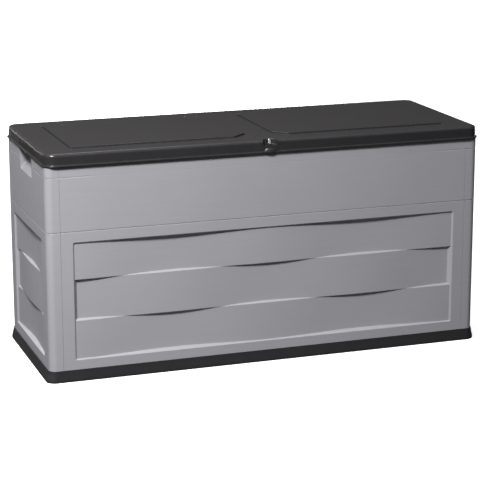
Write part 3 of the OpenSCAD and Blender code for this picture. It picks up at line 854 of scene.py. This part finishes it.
dress(make_tray(), BASE, "box", "plinth", "base_tray")

# ------------------------------------------------------------------ lid
def pad_loop(sign):
    x0, y0, y1, ch, cc, cy = 498.5, -155.7, 141.0, 36.0, 36.5, 32.4
    pts = [(-x0, y0), (-ch - cc, y0), (-ch, y0 + cy), (-ch, y1), (-x0, y1)]
    rad = [5.0, 2.5, 2.5, 5.0, 5.0]
    if sign > 0:
        pts = [(-x, y) for x, y in pts][::-1]
        rad = rad[::-1]
    return round_poly(pts, rad, 6)


def make_lid():
    B = Builder()
    loop = rrect(LX, LY, LID_R, 12)
    loop = subdivide_loop(*loop, 60)
    q = lambda k, n: math.pi / 2 * k / n
    lip_h, lip = 3.8, LIP_OUT
    # under the lip, round its edge, back over it and up the skirt
    prof = [(-3.0, LZ0 + 0.6), (-2.4, LZ0), (lip - 1.2, LZ0)]
    prof += [(lip - 1.2 + 1.2 * math.sin(q(k, 3)), LZ0 + 1.2 - 1.2 * math.cos(q(k, 3))) for k in range(1, 4)]
    prof += [(lip - 1.0 + 1.0 * math.cos(q(k, 3)), LZ0 + lip_h - 1.2 + 1.0 * math.sin(q(k, 3))) for k in range(0, 4)]
    prof += [(1.4 - 1.4 * math.sin(q(k, 3)), LZ0 + lip_h + 1.4 - 1.4 * math.cos(q(k, 3)) - 0.2) for k in range(0, 4)]
    prof += [(0.0, LZ0 + 12), (0.0, LZ1 - EDGE_R - 1)]
    prof += [(-EDGE_R + EDGE_R * math.cos(q(k, 10)), LZ1 - EDGE_R + EDGE_R * math.sin(q(k, 10))) for k in range(0, 11)]
    prof += [(-EDGE_R - 3.0, LZ1)]
    rings = sweep(B, loop, prof)
    pads = []
    for s in (-1, 1):
        lp = subdivide_loop(*pad_loop(s), 60)
        r = 0.9
        pp = [(3.6, LZ1), (3.1, LZ1 - 0.15), (2.8, LZ1 - 1.3), (0.5, LZ1 - 1.4), (0.1, LZ1 - 0.9), (0.0, LZ1 + 0.6), (-0.2, LZ1 + PAD_H - 0.8), (-0.4, LZ1 + PAD_H - 0.3), (-0.75, LZ1 + PAD_H - 0.07), (-1.3, LZ1 + PAD_H)]
        T = sweep(B, lp, pp)
        cap(B, T[-1], up=True)
        pads.append(T[0])
    cap(B, rings[-1], pads, up=True)
    # inside: up the skirt, rounded into the underside of the top
    ip = [(-3.0, LZ0 + 0.6), (-3.0, LZ1 - 3 - 5)]
    ip += [(-3.0 - 5 + 5 * math.cos(q(k, 5)), LZ1 - 3 - 5 + 5 * math.sin(q(k, 5))) for k in range(1, 6)]
    R2 = sweep(B, loop, ip, flip=True)
    cap(B, R2[-1], up=False)
    ob = B.obj("lid_top", weighted=False)
    c = Builder()
    rounded_box(c, (b_ins[0] - 0.25, -LY - 20, LZ0 - 8), (b_ins[3] + 0.25, -198 + 0.2, LZ1 + 30), 0.6, 2)
    boolean(ob, c.obj("cut", weighted=False))
    for i in (-1, 0, 1):
        c = Builder()
        rounded_box(c, (i * 380 - 34, LY, LZ0 - 4), (i * 380 + 34, LY + 14, LZ0 + 4.8), 0.8, 2)
        boolean(ob, c.obj("cut", weighted=False))
    finish_shading(ob, 30)
    return ob


dress(make_lid(), LID, "lid", "lid", "lid_shell")

# hinge bosses inside the skirt
B = Builder()
for i in (-1, 0, 1):
    rounded_box(B, (i * 380 - 33, LY - 8.5, LZ0 + 5), (i * 380 + 33, LY - 2.6, LZ1 - 3.2), 1.2, 2)
dress(B.obj("lid_bosses"), LID, "lid", "lid")


def make_inner():
    """Lining under the lid: a shallow tray with pressed panels between stiffening channels."""
    B = Builder()
    x0, y0, z0, x1, y1, z1 = b_inner
    cx, cy = 0.0, (y0 + y1) / 2
    hx, hy = (x1 - x0) / 2, (y1 - y0) / 2
    loop = rrect(hx, hy, 12, 6)
    loop = (loop[0] + [0, cy], loop[1])
    prof = [(-2.2, z0), (-1.0, z0 + 0.25), (-0.25, z0 + 1.0), (0, z0 + 2.2), (0, z1)]
    rings = sweep(B, loop, prof)
    cap(B, rings[-1], up=True)
    holes = []
    nx, ny = 6, 2
    for i in range(nx):
        for j in range(ny):
            w, d = 2 * (hx - 14) / nx, 2 * (hy - 14) / ny
            ax, ay = -hx + 14 + i * w + 9, cy - hy + 14 + j * d + 9
            lp = round_poly([(ax, ay), (ax + w - 18, ay), (ax + w - 18, ay + d - 18), (ax, ay + d - 18)], 14, 6)
            T = sweep(B, lp, [(0.9, z0), (0.1, z0 + 0.2), (-0.9, z0 + 1.0), (-3.5, z0 + 3.4), (-4.6, z0 + 4.2), (-6.0, z0 + 4.4)], flip=True)
            # inner raised island
            k = 26.0
            lp2 = round_poly([(ax + k, ay + k), (ax + w - 18 - k, ay + k), (ax + w - 18 - k, ay + d - 18 - k), (ax + k, ay + d - 18 - k)], 12, 6)
            I = sweep(B, lp2, [(0, z0 + 4.4), (-1.2, z0 + 4.2), (-4.6, z0 + 1.2), (-5.8, z0 + 0.5), (-7.5, z0 + 0.3)], flip=True) if min(w, d) > 90 else None
            if I is not None:
                # ring between pressed floor and island
                cap(B, T[-1], [I[0]], up=False)
                cap(B, I[-1], up=False)
            else:
                cap(B, T[-1], up=False)
            holes.append(T[0])
    cap(B, rings[0], holes, up=False)
    return B.obj("lid_lining")


dress(make_inner(), LID_IN, "lid", "lid_inner", "lid_inner_panel")

# ------------------------------------------------------------------ lock insert
def make_insert():
    w = b_ins[3] - 0.1
    pr, pz, yb = 19.5, LZ1 - 14.2, -198.0
    B = Builder()
    # outer block: same rounded front edge as the lid, as a profile in (y, z) carried along x
    q = lambda k, n: math.pi / 2 * k / n
    prof = [(yb, LZ0), (-LY - LIP_OUT + 1.2, LZ0)]
    prof += [(-LY - LIP_OUT + 1.2 - 1.2 * math.sin(q(k, 3)), LZ0 + 1.2 - 1.2 * math.cos(q(k, 3))) for k in range(1, 4)]
    prof += [(-LY - LIP_OUT + 1.0 - 1.0 * math.cos(q(k, 3)), LZ0 + 2.6 + 1.0 * math.sin(q(k, 3))) for k in range(0, 4)]
    prof += [(-LY - 1.4 + 1.4 * math.sin(q(k, 3)), LZ0 + 3.6 + 1.4 - 1.4 * math.cos(q(k, 3))) for k in range(0, 4)]
    prof += [(-LY + EDGE_R - EDGE_R * math.cos(q(k, 8)), LZ1 - EDGE_R + EDGE_R * math.sin(q(k, 8))) for k in range(0, 9)]
    prof += [(yb, LZ1)]
    prof = prof[::-1]                     # counter-clockwise seen from +x, with y to the right and z up
    if polygon_area(prof) < 0:
        prof = prof[::-1]
    prism(B, round_poly(prof, 0.0), -w, w, 0.35, 2, "x")
    ob = B.obj("insert", weighted=False)
    # pull tab: round boss that swells out under the notch
    c = Builder()
    tab = []
    zb = LZ0 - 1.6
    lathe(c, [(0, zb), (15.0, zb), (16.4, zb + 1.0), (17.2, zb + 2.6), (17.5, zb + 4.6), (17.2, zb + 6.6), (16.2, zb + 8.8), (14.4, zb + 11.0), (11.8, zb + 13.0), (0, zb + 14.2)],
          (0, 0, 0), (0, 0, 1), 64)
    P = np.concatenate(c.v)
    P[:, 1] = P[:, 1] * 0.36 - 219.4
    c.v = [P]
    boolean(ob, c.obj("tab", weighted=False), "UNION")
    c = Builder()
    rounded_box(c, (-30, -HY - 1.3, LZ0 - 20), (30, -HY + 30, LZ0), 0.05, 1)
    boolean(ob, c.obj("cut", weighted=False))
    # the half-round pocket with a soft rim and a rounded foot
    c = Builder()
    prof = [(0, pz), (pr - 3.0, pz)] + [(pr - 3 + 3 * math.sin(q(k, 5)), pz + 3 - 3 * math.cos(q(k, 5))) for k in range(1, 6)]
    prof += [(pr, LZ1 - 1.6)] + [(pr + 1.6 - 1.6 * math.cos(q(k, 4)), LZ1 - 1.6 + 1.6 * math.sin(q(k, 4))) for k in range(1, 5)] + [(pr + 1.6, LZ1 + 6), (0, LZ1 + 6)]
    lathe(c, prof, (0, -LY, 0), (0, 0, 1), 72)
    boolean(ob, c.obj("pocket", weighted=False))
    # raised collar round the staple
    c = Builder()
    lp = round_poly([(-6, -219.4), (6, -219.4), (6, -200.4), (-6, -200.4)], 2.5, 5)
    prism(c, lp, pz - 1, pz + 5, 1.0, 3, "z")
    boolean(ob, c.obj("collar", weighted=False), "UNION")
    # slot for the staple, open underneath
    c = Builder()
    lp = round_poly([(-4, -218.4), (4, -218.4), (4, -199.0), (-4, -199.0)], 1.2, 3)
    prism(c, lp, LZ0 - 12, LZ1 + 3, 0, 1, "z")
    boolean(ob, c.obj("slot", weighted=False))
    c = Builder()
    rounded_box(c, (-w + 2.2, -HY - 0.5, LZ0 - 10), (w - 2.2, yb - 2.2, pz - 2.5), 0.5, 1)
    boolean(ob, c.obj("hollow", weighted=False))
    finish_shading(ob, 30)
    return ob


dress(make_insert(), GLOSS, "lid", "lock_insert", "lock_insert")

# ------------------------------------------------------------------ lock staple
def circle_loop(c, r, n=28):
    t = [2 * math.pi * k / n for k in range(n)]
    return np.array([(c[0] + r * math.cos(a), c[1] + r * math.sin(a)) for a in t]), np.array([(math.cos(a), math.sin(a)) for a in t])


def make_staple():
    B = Builder()
    yc, zc, r = -HY + 7, b_hook[5] - 8, 8.0
    z0 = b_hook[2]
    neck = WALL_TOP + 1.5
    head = arc(r, 0, 84, 9, (yc, zc)) + [(yc - r + 0.4, zc - 4.5), (yc - r, zc - 5.5)]
    loop = round_poly([(yc + r, z0 + 0.01)] + head + [(yc - r, neck), (-HY + 3.5, neck), (-HY + 3.5, z0 + 0.01)], 0.0)
    if polygon_area(loop[0]) < 0:
        pts = (loop[0])[::-1]
        loop = round_poly([tuple(p) for p in pts], 0.0)
    prism_with_hole(B, loop, circle_loop((yc, zc), 3.5), -3.0, 3.0, 0.5, 2, "x")
    # foot plate, screwed to the bosses inside the front wall
    lp = round_poly([(z0, -20), (z0 + 32, -20), (z0 + 32, 20), (z0, 20)], 4.0, 5)
    prism(B, lp, -HY + 12.05, -HY + 15, 0.6, 2, "y")
    return B.obj("lock_staple_piece", 34)


dress(make_staple(), STEEL, "box", "staple_steel", "lock_staple")

# ------------------------------------------------------------------ screws and pins
def pan_screw(B, origin, direction, length, hr, hh):
    """Pan-head screw with a cross recess; direction points from the head into the work."""
    d = Vector(direction).normalized()
    n = 24
    prof = [(0.0, length), (1.1, length - 0.6), (2.0, length - 3.2)]
    z = length - 3.2
    k = 0
    while z > 1.2:
        prof += [(2.0 if k % 2 else 1.72, z)]
        z -= 0.45
        k += 1
    prof += [(2.0, 0.0), (hr - 0.15, 0.0), (hr, -0.2)]
    prof += [(hr * math.cos(a) ** 0.6, -0.2 - (hh - 0.2) * math.sin(a)) for a in (0.35, 0.7, 1.0, 1.25)]
    prof += [(1.5, -hh), (1.05, -hh + 0.9), (0.0, -hh + 1.05)]
    prof = prof[::-1]
    lathe(B, prof, origin, tuple(d), n)


def screws_from(name, places, body, mat=ZINC):
    B = Builder()
    for o, d, l, hr, hh in places:
        pan_screw(B, o, d, l, hr, hh)
    ob = B.obj(name + "_detail", 40)
    return dress(ob, mat, body, "zinc_steel", name)


js = []
for a in (-1, 1):
    for b in (-1, 1):
        for z in (100, 285, 470):
            js.append(((a * (SEAM - 2.5 - 0.2 - 2.2 - 0.05), b * (HY - WALL_T - 7.5), z), (a, 0, 0), 12, 3.6, 1.5))
screws_from("joining_screws", js, "box")
screws_from("staple_screws", [((x, -HY + 15.05, WALL_TOP - 31), (0, -1, 0), 11, 3.6, 1.6) for x in (-13, 13)], "box")
bz0, bz1 = b_brk[2], AX_Z - 9
bh = [(-22, bz0 + 9), (22, bz0 + 9), (-22, bz1 - 11), (22, bz1 - 11)]
screws_from("bracket_screws", [((i * 380 + x, HY + 3.05, z), (0, -1, 0), 11, 3.8, 1.8) for i in (-1, 0, 1) for x, z in bh], "box")
lz1 = b_leaf[5]
lh = [(-22, AX_Z + 16.5), (22, AX_Z + 16.5), (-22, lz1 - 5), (22, lz1 - 5)]
screws_from("leaf_screws", [((i * 380 + x, LY + 3.15, z), (0, -1, 0), 9.5, 3.8, 1.6) for i in (-1, 0, 1) for x, z in lh], "lid")

# ------------------------------------------------------------------ hinges
KR = 6.5


def knuckle_outline(extra, n=24):
    """Outline in (y, z) of a knuckle with its arm: extra is the list of arm points, counter-clockwise."""
    return extra


def make_bracket(cx):
    B = Builder()
    # plate with rounded corners
    lp = round_poly([(bz0, cx - 32), (bz1, cx - 32), (bz1, cx + 32), (bz0, cx + 32)], 5.0, 5)
    prism(B, lp, HY + 0.05, HY + 3.0, 0.7, 2, "y")
    a = math.radians(100)
    fy = LY + 3.1 - AX_Y

    def stop(d, g):
        return (AX_Y + fy * math.cos(a) + d * math.sin(a), AX_Z - fy * math.sin(a) + d * math.cos(a) - g)

    hole = circle_loop((AX_Y, AX_Z), 2.56, 24)
    for s in (-1, 1):
        x0, x1 = sorted((cx + s * 12.0, cx + s * 32.0))
        # knuckle, arm and stop share one outline
        cir = arc(KR, 35, 188, 18, (AX_Y, AX_Z))
        pts = [stop(10.3, 0.35), stop(7.2, 0.35)] + cir + [(HY + 0.06, AX_Z - 2), (HY + 0.06, bz1 - 6), (HY + 5.0, bz1 - 6), (HY + 5.0, bz1 - 1.0), (AX_Y + 6, AX_Z - 9), (AX_Y + 10, AX_Z - 6)]
        if polygon_area(pts) < 0:
            pts = pts[::-1]
        prism_with_hole(B, round_poly(pts, 0.0), hole, x0, x1, 0.6, 2, "x")
        # webs that stiffen the arm
    for x in (-8, 0, 8):
        rounded_box(B, (cx + x - 1.2, HY + 2.6, bz0 + 4), (cx + x + 1.2, HY + 5.2, bz1 - 3), 0.7, 2)
    return B.obj("bracket", 34)


def make_leaf(cx):
    B = Builder()
    hole = circle_loop((AX_Y, AX_Z), 2.56, 24)
    cir = arc(KR, -180, 62, 26, (AX_Y, AX_Z))
    y0, y1 = LY + 0.1, LY + 3.1
    pts = [(y0, AX_Z + 14)] + [(y0, AX_Z + 2)] + [p for p in cir if p[0] >= y0 - 2.6] + [(y1, AX_Z + 8.2), (y1, AX_Z + 14)]
    if polygon_area(pts) < 0:
        pts = pts[::-1]
    prism_with_hole(B, round_poly(pts, 0.0), hole, cx - 11.6, cx + 11.6, 0.5, 2, "x")
    lp = round_poly([(AX_Z + 8, cx - 30), (lz1, cx - 30), (lz1, cx + 30), (AX_Z + 8, cx + 30)], 5.0, 5)
    prism(B, lp, y0, y1, 0.7, 2, "y")
    for x in (-8, 0, 8):
        rounded_box(B, (cx + x - 1.2, y1 - 0.4, AX_Z + 12), (cx + x + 1.2, y1 + 1.2, lz1 - 3), 0.6, 2)
    return B.obj("leaf", 34)


def make_pin(cx):
    B = Builder()
    h = 32.8
    lathe(B, [(0, -h), (1.9, -h), (2.5, -h + 0.7), (2.5, h - 0.7), (1.9, h), (0, h)], (cx, AX_Y, AX_Z), (1, 0, 0), 28)
    return B.obj("pin", 40)


for i, side in ((-1, "left"), (0, "middle"), (1, "right")):
    for make, kind, body, mat, sl in ((make_bracket, "hinge_bracket_", "box", HINGE, "hinge"), (make_leaf, "hinge_leaf_", "lid", HINGE, "hinge"), (make_pin, "hinge_pin_", "box", ZINC, "zinc_steel")):
        ob = make(i * 380.0)
        ob.name = kind + side + "_piece"
        dress(ob, mat, body, sl, kind + side)

# ------------------------------------------------------------------ joining strips
def make_strip(name, sx, sy):
    x0, y0, z0, x1, y1, z1 = b_strip
    t = 2.2
    pts = [(x0, y0), (x0 + t, y0), (x0 + t, y1 - t), (x1 - t, y1 - t), (x1 - t, y0), (x1, y0), (x1, y1), (x0, y1)]
    rad = [0.8, 0.8, 0.6, 0.6, 0.8, 0.8, 1.6, 1.6]
    pts = [(x * sx, y * sy) for x, y in pts]
    if polygon_area(pts) < 0:
        pts, rad = pts[::-1], rad[::-1]
    B = Builder()
    prism(B, round_poly(pts, rad, 3), z0, z1, 0.5, 2, "z")
    return dress(B.obj(name + "_piece"), GREY, "box", "joining_strip", name)


for sy, fb in ((1, "front"), (-1, "back")):
    for sx, lr in ((-1, "left"), (1, "right")):
        make_strip(f"{fb}_{lr}_joining_strip", sx, sy)

# ------------------------------------------------------------------ studio
scene = bpy.context.scene
cam_data = bpy.data.cameras.new("camera")
cam_data.sensor_fit = "HORIZONTAL"
cam_data.sensor_width = 36.0
cam_data.lens = 1828.15 / 500 * 36
cam_data.clip_end = 100
cam = bpy.data.objects.new("camera", cam_data)
scene.collection.objects.link(cam)
yaw, pitch = math.radians(19.339), math.radians(-14.290)
fwd = Vector((math.sin(yaw) * math.cos(pitch), math.cos(yaw) * math.cos(pitch), math.sin(pitch)))
right = Vector((math.cos(yaw), -math.sin(yaw), 0))
up = right.cross(fwd)
M = Matrix((right, up, -fwd)).transposed().to_4x4()
M.translation = Vector((-1.5380, -4.4460, 1.4555))
cam.matrix_world = M
scene.camera = cam

world = bpy.data.worlds.new("studio")
scene.world = world
world.use_nodes = True
wt = world.node_tree
WN, WL = wt.nodes, wt.links
geo = WN.new("ShaderNodeTexCoord")
sep = WN.new("ShaderNodeSeparateXYZ")
WL.new(geo.outputs["Generated"], sep.inputs[0])
sky = WN.new("ShaderNodeValToRGB")
sky.color_ramp.elements[0].position = 0.46
sky.color_ramp.elements[0].color = (0.05, 0.05, 0.053, 1)
sky.color_ramp.elements[1].position = 1.0
sky.color_ramp.elements[1].color = (0.5, 0.5, 0.51, 1)
e = sky.color_ramp.elements.new(0.56)
e.color = (0.208, 0.196, 0.19, 1)
half_z = WN.new("ShaderNodeMapRange")
half_z.inputs["From Min"].default_value = -1
half_z.inputs["From Max"].default_value = 1
WL.new(sep.outputs["Z"], half_z.inputs["Value"])
WL.new(half_z.outputs["Result"], sky.inputs["Fac"])
flag = WN.new("ShaderNodeMapRange")
flag.inputs["From Min"].default_value = -0.2
flag.inputs["From Max"].default_value = 0.75
flag.inputs["To Min"].default_value = 1.0
flag.inputs["To Max"].default_value = 0.08
WL.new(sep.outputs["X"], flag.inputs["Value"])
bg = WN["Background"]
WL.new(sky.outputs["Color"], bg.inputs["Color"])
WL.new(flag.outputs["Result"], bg.inputs["Strength"])
# the paper backdrop behind the floor's far edge
paper = WN.new("ShaderNodeBackground")
paper.inputs["Color"].default_value = (1, 1, 1, 1)
paper.inputs["Strength"].default_value = 1.0
seen = WN.new("ShaderNodeLightPath")
pick = WN.new("ShaderNodeMixShader")
WL.new(seen.outputs["Is Camera Ray"], pick.inputs[0])
WL.new(bg.outputs["Background"], pick.inputs[1])
WL.new(paper.outputs["Background"], pick.inputs[2])
WL.new(pick.outputs["Shader"], WN["World Output"].inputs["Surface"])

fm = bpy.data.materials.new("pale_floor")
nt, bsdf = nodes_of(fm)
bsdf.inputs["Base Color"].default_value = (0.86, 0.86, 0.86, 1)
bsdf.inputs["Roughness"].default_value = 0.9
bsdf.inputs["Specular IOR Level"].default_value = 0.1
bsdf.inputs["Emission Color"].default_value = (1, 1, 1, 1)
bsdf.inputs["Emission Strength"].default_value = 0.7
me = bpy.data.meshes.new("floor")
s = 14.0
me.from_pydata([(-s, -s, 0), (s, -s, 0), (s, s, 0), (-s, s, 0)], [], [(0, 1, 2, 3)])
floor = bpy.data.objects.new("floor", me)
me.materials.append(fm)
scene.collection.objects.link(floor)
floor.visible_diffuse = False
floor.visible_glossy = False


def area(name, loc, target, size, power, size_y=None, color=(1, 1, 1)):
    d = bpy.data.lights.new(name, "AREA")
    d.shape = "RECTANGLE"
    d.size, d.size_y = size, size_y or size
    d.energy = power
    d.color = color
    o = bpy.data.objects.new(name, d)
    scene.collection.objects.link(o)
    o.location = loc
    o.rotation_euler = (Vector(target) - Vector(loc)).to_track_quat("-Z", "Y").to_euler()
    o.visible_camera = False
    return o


key = area("key", (-1.5, -1.85, 2.45), (-0.8, -0.4, 0.0), 0.6, 79)
key.data.spread = math.radians(135)
area("rear_fill", (0.4, 2.2, 4.4), (0, 0.2, 0.3), 1.2, 24)
# low fills that only reach the back and the ends
area("left_fill", (-2.5, 2.9, 1.3), (0, 0.2, 0.3), 1.5, 17).visible_glossy = False
area("back_fill", (0.2, 3.4, 0.3), (0.2, 0.2, 0.28), 2.6, 34, 0.4)
area("right_fill", (3.2, 1.5, 0.3), (0.58, 0.0, 0.28), 1.4, 16, 0.4)
sun = bpy.data.lights.new("overhead", "SUN")
sun.energy = 0.5
sun.angle = math.radians(70)
so = bpy.data.objects.new("overhead", sun)
scene.collection.objects.link(so)
so.rotation_euler = (math.radians(8), math.radians(-6), 0)

scene.view_settings.view_transform = "Standard"
